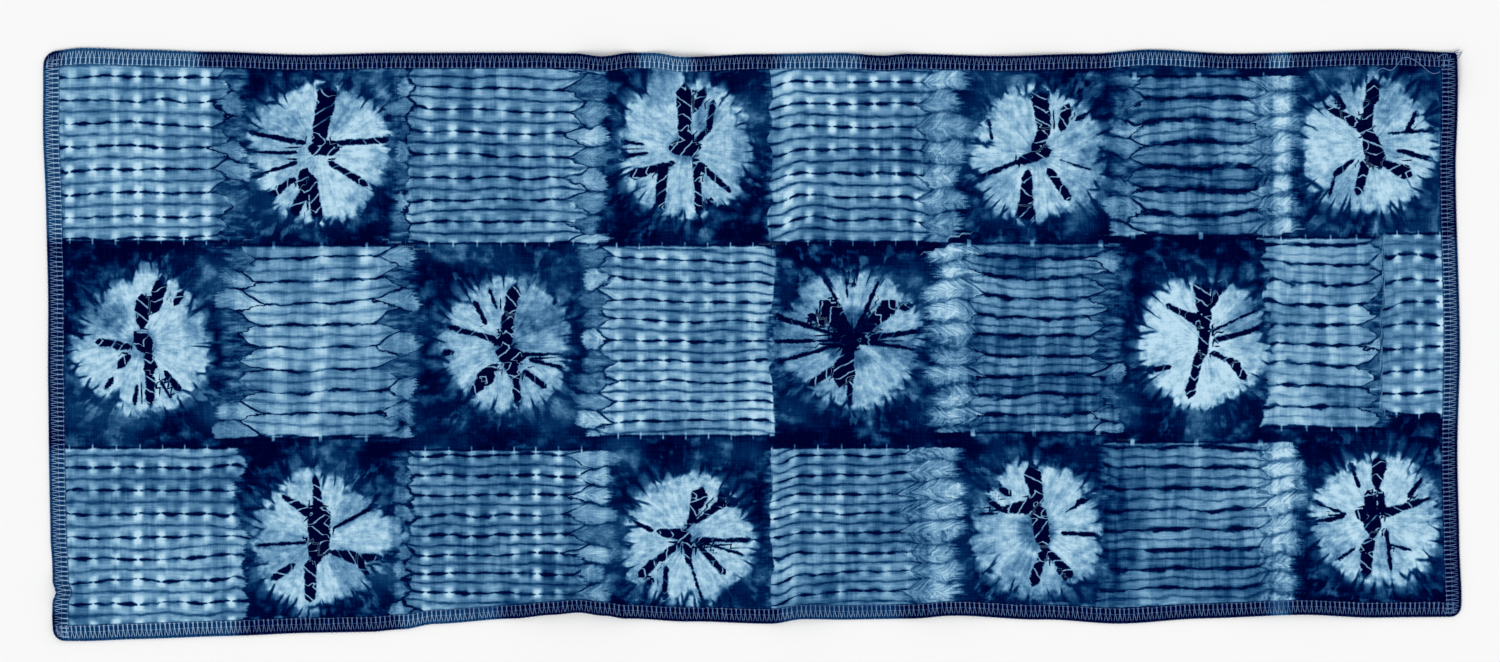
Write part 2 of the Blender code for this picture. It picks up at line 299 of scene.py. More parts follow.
# Tied rounds, and the dark gaps where dye ran in between their pleats. A gap runs between two
# places, each given as an angle in degrees and a share of the round's radius, and has a width in
# millimetres at each: start angle, start, end angle, end, start width, end width.
TiedRound = namedtuple("TiedRound", "x y radius stretch tone")
tiedRounds = (
    (TiedRound(-199.0, 88.5, 33.6, 1.00, 0.84), (
        (95, 0.15, 82, 0.85, 6, 9), (35, 0.20, 10, 0.98, 1.5, 3.2), (150, 0.25, 164, 0.96, 2, 1.6),
        (182, 0.30, 180, 1.0, 1.2, 1.0), (205, 0.35, 200, 1.0, 1.5, 1.0), (226, 0.52, 221, 1.0, 2.5, 4),
        (236, 0.35, 240, 0.50, 5, 4), (250, 0.50, 247, 0.92, 4, 5), (256, 0.38, 268, 0.88, 4, 5),
        (315, 0.22, 325, 0.76, 2, 3), (150, 0.10, 10, 0.20, 5, 5),
    )),
    (TiedRound(-31.0, 90.5, 31.6, 0.96, 0.76), (
        (90, 0.10, 91, 0.82, 5, 7), (75, 0.58, 72, 0.84, 3, 4), (38, 0.45, 58, 0.78, 2.5, 2.5),
        (30, 0.20, 38, 0.45, 1.6, 2.5), (180, 0.16, 0, 0.12, 5, 7), (231, 0.30, 208, 0.85, 2.5, 4.5),
        (221, 0.42, 248, 0.97, 5, 4), (307, 0.26, 316, 0.90, 3.5, 2), (300, 0.32, 283, 0.93, 2.6, 3.6),
        (296, 0.86, 293, 0.94, 3, 3), (188, 0.55, 188, 0.92, 1.4, 1.8), (176, 0.60, 174, 0.90, 0.8, 1.6),
    )),
    (TiedRound(131.0, 87.0, 31.5, 0.98, 0.78), (
        (100, 0.10, 74, 0.40, 4, 6), (74, 0.40, 88, 0.90, 6, 8), (48, 0.54, 57, 0.80, 3.5, 5),
        (198, 0.30, 201, 0.94, 2, 2.2), (200, 0.26, 20, 0.16, 3.5, 3.5), (243, 0.30, 257, 0.74, 3.5, 7),
        (257, 0.74, 260, 0.90, 7, 8), (308, 0.30, 306, 0.76, 3, 4), (348, 0.35, 345, 0.80, 0.8, 0.8),
        (42, 0.78, 40, 0.90, 2, 2), (160, 0.70, 145, 0.86, 0.8, 1.2),
    )),
    (TiedRound(283.5, 91.0, 31.8, 0.98, 0.81), (
        (86, 0.68, 86, 0.90, 6, 6), (97, 0.24, 90, 0.66, 4, 4.5), (94, 0.24, 131, 0.62, 6, 3),
        (131, 0.60, 136, 0.80, 3, 3), (94, 0.24, 300, 0.22, 4.5, 9), (35, 0.34, 14, 0.96, 1, 1.5),
        (22, 0.60, 36, 0.84, 2, 1.6), (352, 0.42, 349, 0.90, 1.5, 2.2), (310, 0.30, 325, 0.66, 2.4, 7),
        (258, 0.24, 257, 0.68, 4, 4), (221, 0.30, 219, 0.62, 1.6, 2.8), (219, 0.62, 231, 0.90, 1.4, 1.6),
        (122, 0.66, 122, 0.88, 1.6, 2),
    )),
    (TiedRound(-280.5, 0.0, 32.7, 1.02, 0.80), (
        (90, 0.30, 90, 0.62, 5, 6.5), (71, 0.54, 73, 0.90, 5.5, 6), (51, 0.76, 52, 0.88, 3.5, 3.5),
        (110, 0.10, 330, 0.10, 7, 6), (177, 0.30, 177, 0.60, 2, 4), (188, 0.20, 187, 0.36, 2.5, 2.5),
        (222, 0.25, 224, 0.42, 2.2, 4), (300, 0.18, 290, 0.36, 3, 6.5), (286, 0.40, 278, 0.82, 4, 4),
        (310, 0.52, 309, 0.80, 2.4, 3.4), (263, 0.58, 263, 0.84, 1.4, 2.4),
        (229, 0.64, 230, 0.80, 1.8, 1.8), (297, 0.60, 298, 0.84, 1.4, 1.6),
        (170, 0.84, 170, 0.98, 0.8, 1.6),
    )),
    (TiedRound(-113.0, 0.0, 31.3, 1.00, 0.73), (
        (85, 0.46, 82, 0.80, 5, 6), (90, 0.0, 87, 0.42, 4, 5.5), (250, 0.14, 315, 0.26, 7.5, 6),
        (110, 0.12, 170, 0.14, 4, 3), (105, 0.55, 107, 0.84, 1.4, 1.4), (134, 0.44, 127, 0.76, 1.8, 2.4),
        (150, 0.14, 163, 0.86, 2.2, 2.6), (188, 0.80, 188, 0.92, 2.4, 2.4), (242, 0.38, 237, 0.62, 4, 8),
        (237, 0.62, 235, 0.92, 6, 2.6), (280, 0.30, 286, 0.50, 6.5, 4.6),
        (286, 0.50, 281, 0.86, 2.8, 3.4), (304, 0.48, 312, 0.82, 2.2, 2.8),
        (330, 0.30, 352, 0.98, 1.4, 1.0), (327, 0.42, 337, 0.86, 1.2, 2.0),
    )),
    (TiedRound(47.0, 2.0, 32.8, 1.02, 0.71), (
        (140, 0.05, 131, 0.58, 3, 11), (150, 0.50, 151, 0.70, 4, 3), (45, 0.05, 44, 0.68, 2.5, 8),
        (34, 0.80, 32, 0.90, 3, 3), (230, 0.10, 251, 0.52, 3, 12), (233, 0.52, 225, 0.86, 3.2, 2.8),
        (262, 0.50, 266, 0.88, 3.6, 1.6), (110, 0.12, 115, 0.94, 1.6, 1.2),
        (72, 0.12, 68, 0.90, 2.4, 1.2), (168, 0.10, 163, 1.15, 1.2, 2.4),
        (181, 0.08, 181, 1.18, 1.2, 1.6), (196, 0.10, 196, 1.15, 1.6, 1.6), (8, 0.10, 8, 0.98, 2.6, 1.6),
        (354, 0.10, 351, 0.98, 2.0, 1.2), (90, 0.76, 90, 0.96, 0.7, 1.2), (99, 0.60, 98, 0.94, 0.7, 1.0),
        (180, 0.05, 0, 0.05, 5, 5),
    )),
    (TiedRound(207.5, 1.0, 30.8, 1.00, 0.87), (
        (88, 0.40, 92, 0.86, 6.5, 7), (85, 0.20, 90, 0.40, 4, 7.5), (85, 0.22, 265, 0.18, 3.8, 3.2),
        (77, 0.56, 72, 0.90, 2, 2.8), (134, 0.76, 123, 0.48, 2.4, 2.8), (123, 0.48, 100, 0.32, 3, 5.5),
        (52, 0.22, 31, 0.94, 0.8, 1.0), (11, 0.18, 14, 0.94, 2, 2), (310, 0.22, 326, 0.54, 1.6, 3.2),
        (326, 0.54, 319, 0.80, 4.2, 3.4), (253, 0.18, 255, 0.80, 3.4, 4.2), (208, 0.88, 216, 0.62, 3, 2),
    )),
    (TiedRound(-199.5, -90.0, 32.0, 1.02, 0.78), (
        (88, 0.40, 275, 0.16, 10.5, 8), (110, 0.42, 128, 0.80, 4.6, 2.2), (90, 0.50, 93, 0.90, 4.6, 2.4),
        (38, 0.28, 31, 0.94, 1.2, 1.8), (185, 0.88, 190, 0.20, 1.4, 1.0),
        (221, 0.82, 225, 0.50, 3.6, 2.4), (252, 0.38, 262, 0.84, 5.4, 4.8),
        (320, 0.28, 335, 0.60, 2.4, 5.6), (335, 0.60, 344, 0.90, 4.6, 2.4),
        (330, 0.70, 324, 0.92, 2.8, 1.6), (255, 0.05, 265, 0.26, 8, 6),
    )),
    (TiedRound(-29.5, -90.0, 30.9, 0.98, 0.77), (
        (85, 0.24, 75, 0.70, 2, 8), (65, 0.30, 48, 0.74, 1.4, 4), (53, 0.80, 52, 0.90, 3.8, 3.8),
        (41, 0.80, 40, 0.92, 2, 2), (120, 0.08, 163, 0.44, 4.6, 3.0), (160, 0.92, 165, 0.56, 1.0, 1.4),
        (0, 0.16, 0, 0.90, 2.2, 2), (350, 0.28, 345, 0.84, 1, 1), (345, 0.12, 318, 0.70, 1.2, 3.2),
        (275, 0.30, 283, 0.88, 1, 1.2), (270, 0.06, 272, 0.34, 3.6, 1.6), (207, 0.18, 213, 0.50, 2, 3.6),
        (213, 0.60, 216, 0.86, 3.6, 4), (231, 0.52, 247, 0.90, 2, 2.4), (228, 0.80, 228, 0.90, 2.6, 2.6),
    )),
    (TiedRound(131.0, -85.5, 31.2, 0.98, 0.77), (
        (95, 0.86, 88, 0.44, 8, 5.6), (88, 0.30, 300, 0.20, 6.5, 5.6), (150, 0.60, 100, 0.36, 2.8, 6.6),
        (148, 0.92, 149, 0.66, 1.8, 3.0), (132, 0.94, 128, 0.68, 1.8, 3.4),
        (165, 0.94, 157, 0.64, 1, 1.2), (33, 0.50, 31, 0.98, 0.6, 1.4), (34, 0.72, 34, 0.80, 2, 2),
        (354, 0.38, 356, 0.86, 1.6, 1.8), (290, 0.26, 307, 0.80, 2.8, 4),
        (283, 0.36, 266, 0.76, 3.6, 4.6), (297, 0.66, 300, 0.84, 1, 1.2),
    )),
    (TiedRound(287.5, -80.5, 30.6, 0.98, 0.85), (
        (88, 0.86, 92, 0.50, 7.2, 3.6), (110, 0.40, 240, 0.16, 4, 7), (85, 0.40, 60, 0.16, 3.6, 2.8),
        (160, 0.30, 170, 0.12, 4, 5), (250, 0.16, 252, 0.26, 3.6, 3), (38, 0.16, 23, 0.74, 3.6, 2.4),
        (23, 0.74, 22, 0.98, 1.2, 0.9), (37, 0.60, 43, 0.92, 2.8, 1), (116, 0.92, 119, 0.58, 1, 1.8),
        (165, 0.98, 170, 0.48, 1, 1.4), (182, 0.98, 176, 0.52, 1.4, 1.8),
        (250, 0.34, 251, 0.52, 4.6, 6.5), (252, 0.52, 258, 0.82, 6, 4.4),
        (308, 0.22, 285, 0.78, 1.4, 1.4), (300, 0.44, 318, 0.68, 1, 1.4),
        (225, 0.84, 232, 0.56, 1.4, 1.2),
    )),
)


def within(value, low, high, soft):
    # 1 between low and high, with soft ends
    return smooth((value - low) / soft + 0.5) * smooth((high - value) / soft + 0.5)


def bandLight(x, y):
    light = np.zeros_like(x)
    for band in paleBands:
        across = within(x, band.left, band.right, band.soft)
        light += band.light * across * within(y, band.bottom, band.top, 1.0)
    return light


def edgePaleness(x, y, u, v):
    # how pale the hem and its thread are, from 0 to 1
    inwards = inwardsByEdge(u, v)
    pale = np.zeros_like(x)
    for stretch in paleEdges:
        inside = within(x if stretch.edge in longEdges else y, stretch.start, stretch.end, 8)
        near = smooth((16 - inwards[stretch.edge]) / 6)
        pale = np.maximum(pale, stretch.share * inside * near)
    return pale


# Petals that took up more dye: round counted from 1, angle and half spread in degrees, start and
# end as shares of the radius, and the change of tone
petalShades = (
    (1, 60, 14, 0.35, 1.0, -0.22), (1, 330, 30, 0.70, 1.0, -0.12), (2, 55, 16, 0.3, 0.75, -0.22),
    (3, 215, 22, 0.5, 1.0, -0.14), (3, 340, 30, 0.6, 1.0, -0.16), (4, 65, 18, 0.4, 1.0, -0.22),
    (5, 135, 22, 0.35, 1.0, -0.16), (6, 50, 26, 0.25, 0.9, -0.14), (7, 90, 52, 0.0, 0.46, -0.40),
    (7, 180, 45, 0.0, 0.42, -0.36), (7, 10, 28, 0.0, 0.42, -0.34), (7, 270, 38, 0.0, 0.42, -0.26),
    (7, 350, 18, 0.4, 1.1, -0.20), (8, 30, 18, 0.25, 1.0, -0.12), (9, 320, 26, 0.3, 1.0, -0.20),
    (9, 40, 16, 0.3, 1.0, -0.16), (2, 0, 190, -1.0, 0.22, -0.30), (3, 0, 190, -1.0, 0.20, -0.24),
    (5, 0, 190, -1.0, 0.22, -0.28), (6, 0, 190, -1.0, 0.20, -0.20), (10, 0, 190, -1.0, 0.22, -0.22),
    (11, 90, 190, -1.0, 0.28, -0.34), (5, 0, 190, 1.04, 2.0, -0.26), (9, 0, 190, 1.04, 2.0, -0.28),
    (7, 0, 190, 1.04, 2.0, -0.28), (11, 0, 190, 1.04, 2.0, -0.28), (2, 300, 80, 1.04, 2.0, -0.28),
    (2, 104, 20, 1.04, 2.0, -0.08), (11, 255, 26, 0.4, 1.0, -0.16), (12, 200, 26, 0.5, 1.0, -0.14),
    (10, 225, 20, 0.5, 1.0, -0.12),
)
# Petals that run on beyond their round: round, angle and half spread in degrees, and extra reach
# in millimetres
petalRuns = (
    (2, 104, 11, 13.0), (5, 86, 9, 6.5), (5, 262, 8, 3.5), (9, 262, 8, 7.0), (9, 6, 12, 9.0),
    (9, 98, 10, 3.5), (11, 108, 9, 4.0), (7, 128, 10, 7.0), (2, 316, 9, 6.0), (7, 181, 24, 8.0),
)


def bandBeside(square, edge):
    # 1 where a side of a square runs out into a pale band
    across = np.arange(edge - 15, edge + 16, 1.5)
    level = (max(square.bottom, -120) + min(square.top, 120)) / 2
    return smooth((bandLight(across, np.full_like(across, level)).max() - 0.06) / 0.12)


def put(field, near, *columns):
    # writes values into a field's columns, at the places that near picks
    for number, values in enumerate(columns):
        field[near, number] = values


def rowFields(x, y, fields):
    # distance out from the nearest row edge in a place's own column, 1 inside that column, and haze
    cost, away, inside = [], [], []
    haze = np.zeros_like(x)
    for square in stitchedSquares:
        sideways = np.maximum(square.left - x, x - square.right)
        away.append(np.maximum(square.bottom - y, y - square.top))
        cost.append(np.maximum(sideways, 0) * 50 + np.abs(away[-1]))
        inside.append(1 - smooth((sideways + 1) / 2.5))
        fringe = np.where(x < square.left, square.leftFringe, square.rightFringe)
        outBy = 1 - smooth((sideways - 0.5 * fringe + 2) / 14)
        haze = np.maximum(haze, outBy * (1 - smooth((away[-1] + 2) / 4)))
    nearest = np.argmin(np.stack(cost), axis=0)[None]
    rowAway, ownColumn = (np.take_along_axis(np.stack(rows), nearest, axis=0)[0] for rows in (away, inside))
    put(fields["column"], slice(None), rowAway, ownColumn, haze)


def stitchedFields(x, y, fields):
    # phases and strengths that draw the stitched ridges; each place belongs to its nearest square
    away = []
    for square in stitchedSquares:
        beyondX = np.maximum(square.left - x, x - square.right)
        beyondY = np.maximum(square.bottom - y, y - square.top)
        away.append(np.maximum(beyondX / 4, beyondY))
    owner = np.argmin(np.stack(away), axis=0)
    for number, square in enumerate(stitchedSquares):
        near = owner == number
        px, py = x[near], y[near]
        beyondLeft, beyondRight = square.left - px, px - square.right
        isLeft = beyondLeft > beyondRight
        sideways = np.maximum(beyondLeft, beyondRight)
        unruly = 1.0 + 1.6 * smooth((sideways + 12) / 14)
        drift = 0.13 * handField("slowDrift", px, py, number) + 0.07 * handField("quickDrift", px, py, number)
        drift = drift * unruly + square.bend * smooth((square.left + 14 - px) / 13)
        drift += 0.13 * handField("endDrift", px, py, number) * smooth((sideways + 6) / 9)
        phase = (py - square.lowLine) / square.pitch + drift + 40  # 40 keeps it above 0
        endDistance = sideways + 2.2 * handField("ridgeEnd", px, py, number)
        put(fields["ridge"], near, phase, endDistance, np.where(isLeft, square.leftPoint, square.rightPoint))
        dotDrift = 0.07 * handField("dotDrift", px, py, number)
        dotPhase = (px - square.dotStart) / square.dotPitch + dotDrift + 60  # 60 keeps it above 0
        dots = square.dots * (0.75 + 0.5 * handField("dotStrength", px, py, number))
        put(fields["stitch"], near, dotPhase, dots, square.minor)
        fringe = np.where(isLeft, square.leftFringe, square.rightFringe)
        rowEdge = np.maximum(square.bottom - py, py - square.top)
        rowEdge = np.where(sideways > 1.2 * fringe + 2.5, 30.0, rowEdge)
        put(fields["rowEdge"], near, rowEdge, square.line, square.waves)
        bandNear = np.where(isLeft, bandBeside(square, square.left), bandBeside(square, square.right))
        cellSeed = number * 30 + isLeft * 400  # no two sides share random numbers
        put(fields["fringe"], near, fringe, cellSeed, bandNear)
        clouds = 0.08 * handField("slowTone", px, py, number) + 0.05 * handField("quickTone", px, py, number)
        put(fields["tone"], near, square.tone + clouds)
    fields["tone"][:, 2] = bandLight(x, y)


def placeAt(tied, angle, share):
    reach = tied.radius * share
    turn = math.radians(angle)
    return tied.x + reach * math.cos(turn), tied.y + reach * math.sin(turn)


def turnAway(angle, center):
    # degrees between an angle in radians and one in degrees
    return np.abs((np.degrees(angle) - center + 180) % 360 - 180)


def roundFields(x, y, fields):
    # local place in the nearest tied round, and the signed distances that draw its gaps
    nearest = roundDistances(x, y).argmin(axis=0)
    for number, (tied, gaps) in enumerate(tiedRounds):
        near = nearest == number
        px, py = x[near], y[near]
        localX, localY = px - tied.x, (py - tied.y) * tied.stretch
        fromMiddle = np.hypot(localX, localY)
        put(fields["roundPlace"], near, localX, localY, number * 7.0)
        best, halfWidth = np.full(px.shape, -90.0), np.full(px.shape, -90.0)  # -90 is far from any gap
        signed, along = np.zeros(px.shape), np.zeros(px.shape)
        for startAngle, start, endAngle, end, startWidth, endWidth in gaps:
            x0, y0 = placeAt(tied, startAngle, start)
            x1, y1 = placeAt(tied, endAngle, end)
            length = math.hypot(x1 - x0, y1 - y0)
            dx, dy = (x1 - x0) / length, (y1 - y0) / length
            run = (px - x0) * dx + (py - y0) * dy
            across = (px - x0) * dy - (py - y0) * dx
            overshoot = np.maximum(np.maximum(-run, run - length), 0)
            half = between(startWidth, endWidth, np.clip(run / length, 0, 1)) / 2 - overshoot
            half = half + 0.15 + 0.8 * np.clip(1 - fromMiddle / 12, 0, 1)
            inside = half - np.abs(across)
            better = inside > best
            best = np.where(better, inside, best)
            signed = np.where(better, across, signed)
            halfWidth = np.where(better, half - 4.0 * np.clip(-inside - 1.5, 0, None), halfWidth)
            along = np.where(better, run + 3.0 * number, along)
        put(fields["gapLine"], near, signed, np.clip(halfWidth, -8, 20), along)
        angle = np.arctan2(localY, localX)
        share = fromMiddle / tied.radius
        lumps = 0.9 * np.sin(3 * angle + number) + 0.7 * np.sin(5 * angle + 2.3 * number)
        for rowNumber, center, spread, reach in petalRuns:
            if rowNumber == number + 1:
                lumps += reach * smooth((spread - turnAway(angle, center)) / 8 + 0.5)
        tone = tied.tone - 0.18 * smooth((handField("petalBlue", px, py, number) - 0.05) / 0.6)
        for rowNumber, center, spread, start, end, change in petalShades:
            if rowNumber == number + 1:
                inTurn = smooth((spread - turnAway(angle, center)) / 12 + 0.5)
                tone += change * inTurn * within(share, start, end, 0.12)
        haloReach = 9.5 + 6.5 * handField("halo", px, py, number)
        put(fields["petals"], near, tied.radius * (1 - share) + lumps, tone, haloReach)


def groundFields(x, y, u, v, fields):
    # tone of the ground between the squares, with painted shade along the row folds, and of the hem
    clouds = 0.5 + 0.5 * handField("groundClouds", x, y)
    spots = 0.5 + 0.5 * handField("groundSpots", x, y)
    # painted shade: the ground is darker in a strip along each row fold, standing in for the fold's shadow
    rowFoldShade = 1 - smooth((foldAway(y + middle[1], rowFolds) - 3) / 5)
    fields["tone"][:, 1] = -0.02 + 0.24 * clouds**2.2 + 0.06 * spots**2 - 0.04 * rowFoldShade
    put(fields["hem"], slice(None), edgeInwards(u, v), edgePaleness(x, y, u, v))


fieldNames = (
    "ridge", "stitch", "rowEdge", "fringe", "column", "tone", "petals", "roundPlace", "gapLine", "hem",
)


def dyeFields(u, v):
    x, y = clothPlan(u, v)
    fields = {name: np.zeros((len(x), 3)) for name in fieldNames}
    roundFields(x, y, fields)
    stitchedFields(x, y, fields)
    rowFields(x, y, fields)
    groundFields(x, y, u, v, fields)
    return fields


print("dye fields ready")


def gridLines(length, step):
    rim = np.array([0.0, 0.25, 0.6, cloth["rimWidth"]])
    count = int(round((length - 2 * cloth["rimWidth"]) / step))
    inner = np.linspace(cloth["rimWidth"], length - cloth["rimWidth"], count + 1)
    return np.concatenate([rim[:-1], inner, length - rim[:-1][::-1]])


def newMesh(name, points, quads):
    # smooth mesh of quads; points are in millimetres
    mesh = bpy.data.meshes.new(name)
    mesh.vertices.add(len(points))
    mesh.vertices.foreach_set("co", (points * mm).ravel())
    mesh.loops.add(quads.size)
    mesh.loops.foreach_set("vertex_index", quads.ravel())
    mesh.polygons.add(len(quads))
    mesh.polygons.foreach_set("loop_start", np.arange(0, quads.size, 4))
    mesh.update(calc_edges=True)
    mesh.shade_smooth()
    return mesh


def addPiece(name, data):
    piece = bpy.data.objects.new(name, data)
    bpy.context.scene.collection.objects.link(piece)
    return piece


def addSheet(name, step, height, faceUp):
    across, up = gridLines(width, step), gridLines(depth, step)
    gridU, gridV = np.meshgrid(across, up)
    u, v = gridU.ravel(), gridV.ravel()
    x, y = clothPlan(u, v)
    columns, rows = len(across), len(up)
    corner = (np.arange(rows - 1)[:, None] * columns + np.arange(columns - 1)).ravel()
    quads = np.stack([corner, corner + 1, corner + columns + 1, corner + columns], axis=1)
    if not faceUp:
        quads = quads[:, ::-1]
    mesh = newMesh(name, np.stack([x, y, height(u, v)], axis=1), quads)
    mesh.validate()
    for fieldName, values in dyeFields(u, v).items():
        mesh.attributes.new(fieldName, "FLOAT_VECTOR", "POINT").data.foreach_set("vector", values.ravel())
    uv = np.stack([u / width, v / depth], axis=1)[quads.ravel()]
    mesh.uv_layers.new(name="OFBake").data.foreach_set("uv", uv.ravel())
    return addPiece(name, mesh)


# Helpers for node trees: a source is a value or plain numbers
class Value:
    # an output of a node; sums, products and powers of values make Math nodes
    def __init__(self, tree, socket):
        self.tree = tree
        self.socket = socket

    def __add__(self, other):
        return calc("ADD", self, other)

    def __radd__(self, other):
        return calc("ADD", other, self)

    def __sub__(self, other):
        return calc("SUBTRACT", self, other)

    def __rsub__(self, other):
        return calc("SUBTRACT", other, self)

    def __mul__(self, other):
        return calc("MULTIPLY", self, other)

    def __truediv__(self, other):
        return calc("DIVIDE", self, other)

    def __pow__(self, other):
        return calc("POWER", self, other)

    def __abs__(self):
        return calc("ABSOLUTE", self)


def feed(socket, source):
    if isinstance(source, Value):
        source.tree.links.new(source.socket, socket)
    else:
        socket.default_value = source


def newNode(kind, sources, **settings):
    # adds a node to the tree of its sources, and gives its outputs
    tree = next(source.tree for source in sources.values() if isinstance(source, Value))
    node = tree.nodes.new(kind)
    for setting, value in settings.items():
        setattr(node, setting, value)
    for name, source in sources.items():
        feed(node.inputs[name], source)
    return [Value(tree, socket) for socket in node.outputs]


def calc(operation, *sources):
    return newNode("ShaderNodeMath", dict(enumerate(sources)), operation=operation)[0]


def vectorMath(operation, *sources):
    return newNode("ShaderNodeVectorMath", dict(enumerate(sources)), operation=operation)


def ramp(source, low, high, toLow=0.0, toHigh=1.0):
    # smooth step of a value from low to high
    sources = dict(enumerate((source, low, high, toLow, toHigh)))
    return newNode("ShaderNodeMapRange", sources, interpolation_type="SMOOTHSTEP")[0]


def fade(source, low, high):
    return ramp(source, low, high, 1.0, 0.0)


def blend(share, low, high):
    return newNode("ShaderNodeMix", {0: share, 2: low, 3: high}, data_type="FLOAT")[0]


def noise(vector, scale, detail=2.0, roughness=0.5):
    # a scale of two numbers is one along x and one along y
    if isinstance(scale, tuple):
        vector = vectorMath("MULTIPLY", vector, (*scale, 1.0))[0]
        scale = 1.0
    sources = {"Vector": vector, "Scale": scale, "Detail": detail, "Roughness": roughness}
    return newNode("ShaderNodeTexNoise", sources)[0]


def whiteNoise(source):
    return newNode("ShaderNodeTexWhiteNoise", {"W": source}, noise_dimensions="1D")[0]


def parted(vector):
    return newNode("ShaderNodeSeparateXYZ", {0: vector})


def joined(x, y, z):
    return newNode("ShaderNodeCombineXYZ", {0: x, 1: y, 2: z})[0]


def attribute(tree, name, output):
    node = tree.nodes.new("ShaderNodeAttribute")
    node.attribute_name = name
    return Value(tree, node.outputs[output])


def newGroup(name, inputs, outputs):
    # gives the new tree, the values of its inputs, and the sockets of its outputs
    tree = bpy.data.node_groups.new(name, "ShaderNodeTree")
    for socketName, kind, value in inputs:
        socket = tree.interface.new_socket(socketName, in_out="INPUT", socket_type=kind)
        if value is not None:
            socket.default_value = value
    for socketName, kind in outputs:
        tree.interface.new_socket(socketName, in_out="OUTPUT", socket_type=kind)
    start, end = tree.nodes.new("NodeGroupInput"), tree.nodes.new("NodeGroupOutput")
    return tree, [Value(tree, start.outputs[name]) for name, kind, value in inputs], end.inputs


def linear(red, green, blue):
    # a display colour of 0 to 255 as the shader's linear colour
    parts = [c / 255 for c in (red, green, blue)]
    return tuple(c / 12.92 if c <= 0.04045 else ((c + 0.055) / 1.055) ** 2.4 for c in parts) + (1.0,)


def colorRamp(share, colors):
    node = share.tree.nodes.new("ShaderNodeValToRGB")
    elements = node.color_ramp.elements
    while len(elements) > 1:
        elements.remove(elements[-1])
    for number, (place, color) in enumerate(colors.items()):
        element = elements[0] if number == 0 else elements.new(place)
        element.position = place
        element.color = linear(*color)
    feed(node.inputs[0], share)
    return Value(share.tree, node.outputs["Color"])


indigo = {  # share of light left by the dye, and the colour it gives
    0.0: (0, 1, 40),
    0.07: (0, 13, 60),
    0.14: (1, 35, 82),
    0.22: (14, 58, 102),
    0.32: (40, 85, 126),
    0.44: (69, 115, 154),
    0.57: (101, 147, 183),
    0.70: (136, 179, 208),
    0.82: (170, 207, 228),
    0.92: (190, 223, 242),
}


def indigoGroup():
    inputs = (("Light", "NodeSocketFloat", 0.5),)
    tree, start, end = newGroup("indigoDye", inputs, (("Color", "NodeSocketColor"),))
    feed(end["Color"], colorRamp(start[0], indigo))
    return tree


def weaveGroup():
    inputs = (("Place", "NodeSocketVector", None), ("Threads", "NodeSocketFloat", 2.4))
    outputs = (("Height", "NodeSocketFloat"), ("Slub", "NodeSocketFloat"))
    tree, (place, threads), end = newGroup("plainWeave", inputs, outputs)
    x, y, z = parted(place)
    crossing = calc("SINE", x * threads * math.pi) * calc("SINE", y * threads * math.pi)
    feed(end["Height"], crossing)
    feed(end["Slub"], noise(place, (0.08, 2.6), 2.0, 0.6) + noise(place, (2.6, 0.08), 2.0, 0.6) - 1.0)
    return tree


shibori = {
    "halfPitch": 5.0,  # from a dark line to the middle of a ridge, in millimetres
    "dotPitch": 10.5,
    "dotLight": 0.55,  # white stitch dots
    "minorDark": 0.58,  # small dark lines on the ridges
    "zigzagDark": 0.85,  # lines round the pointed ridge ends
    "streakLight": 0.34,
    "petalCells": 5.2,
    "pleatDark": 0.76,
    "rimDark": 0.24,
    "haloLight": 0.34,  # blue round each tied round
    "cloudLight": 0.30,
    "ringStep": 6.0,  # between turns of the resist thread in a tied round, in millimetres
    "threadLight": 0.66,
    "tickLight": 0.84,
    "hemLight": 0.02,
    "hemPale": 0.26,
}


